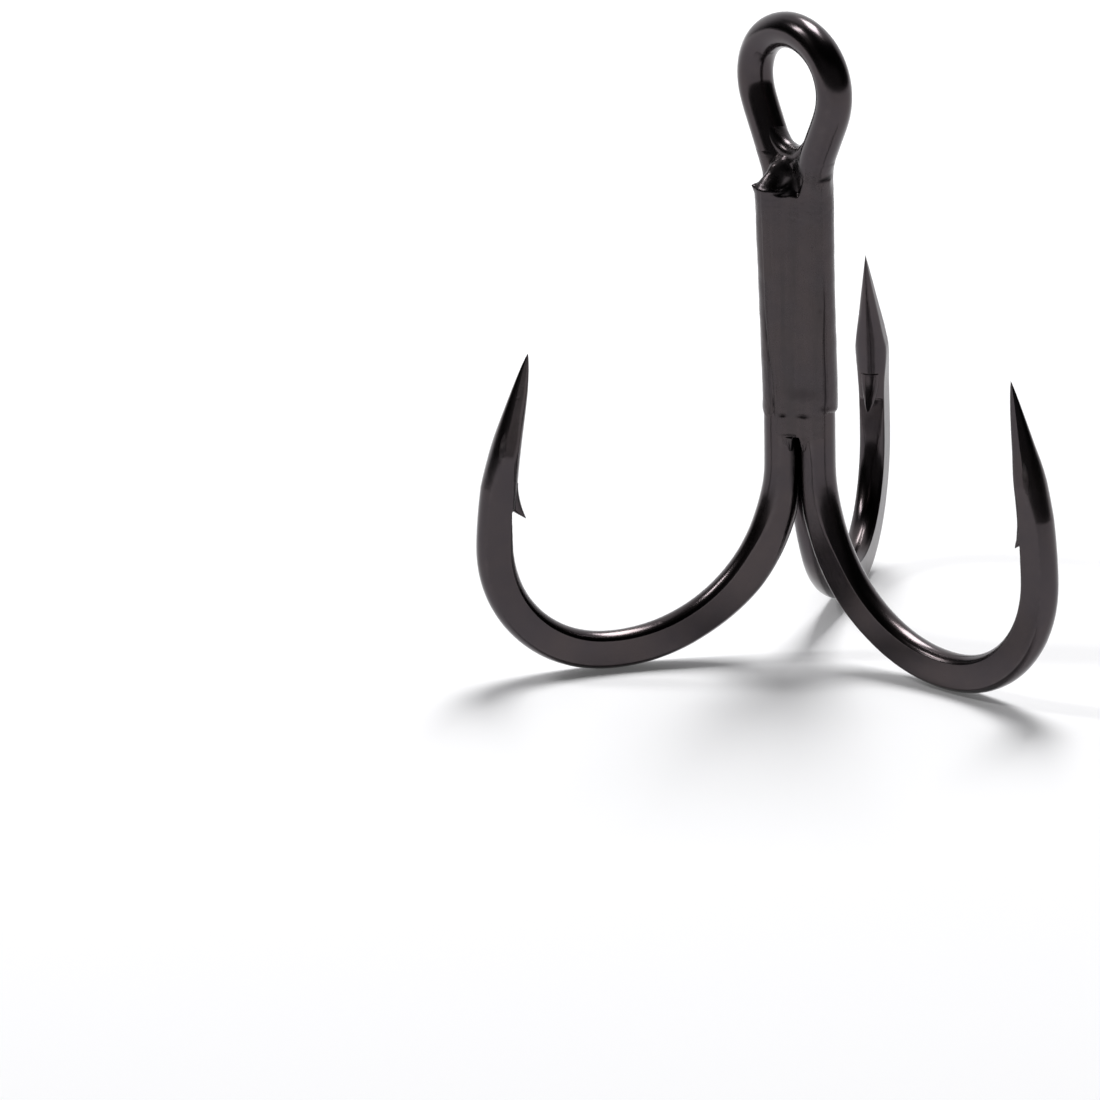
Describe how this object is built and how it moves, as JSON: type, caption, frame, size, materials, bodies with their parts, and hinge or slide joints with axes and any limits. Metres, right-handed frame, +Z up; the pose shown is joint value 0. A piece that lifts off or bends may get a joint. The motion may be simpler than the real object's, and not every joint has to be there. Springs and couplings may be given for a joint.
{
  "type": "treble hook",
  "caption": "Treble fishing hook: forged, barbed bends brazed back to back on one short shank below a closed oval eye, with a black nickel finish.",
  "frame": {"origin": "on the common axis of the three shanks, level with the lowest points of the three bends, on which the hook stands", "axes": "+Z up the shanks to the eye; the single hook's bend points along -X, the double hook's two bends lie 60 degrees either side of +X"},
  "size_m": [0.0287, 0.0328, 0.0366],
  "materials": {
    "plated_wire": "smooth black nickel plate on forged high-carbon steel wire",
    "plated_braze": "black nickel plate on slightly rough brazing filler"
  },
  "bodies": {
    "root": {"double_hook": "plated_wire", "single_hook": "plated_wire", "braze_web_front": "plated_braze", "braze_web_back": "plated_braze", "braze_web_side": "plated_braze", "braze_core": "plated_braze", "braze_saddle": "plated_braze"}
  },
  "joints": []
}
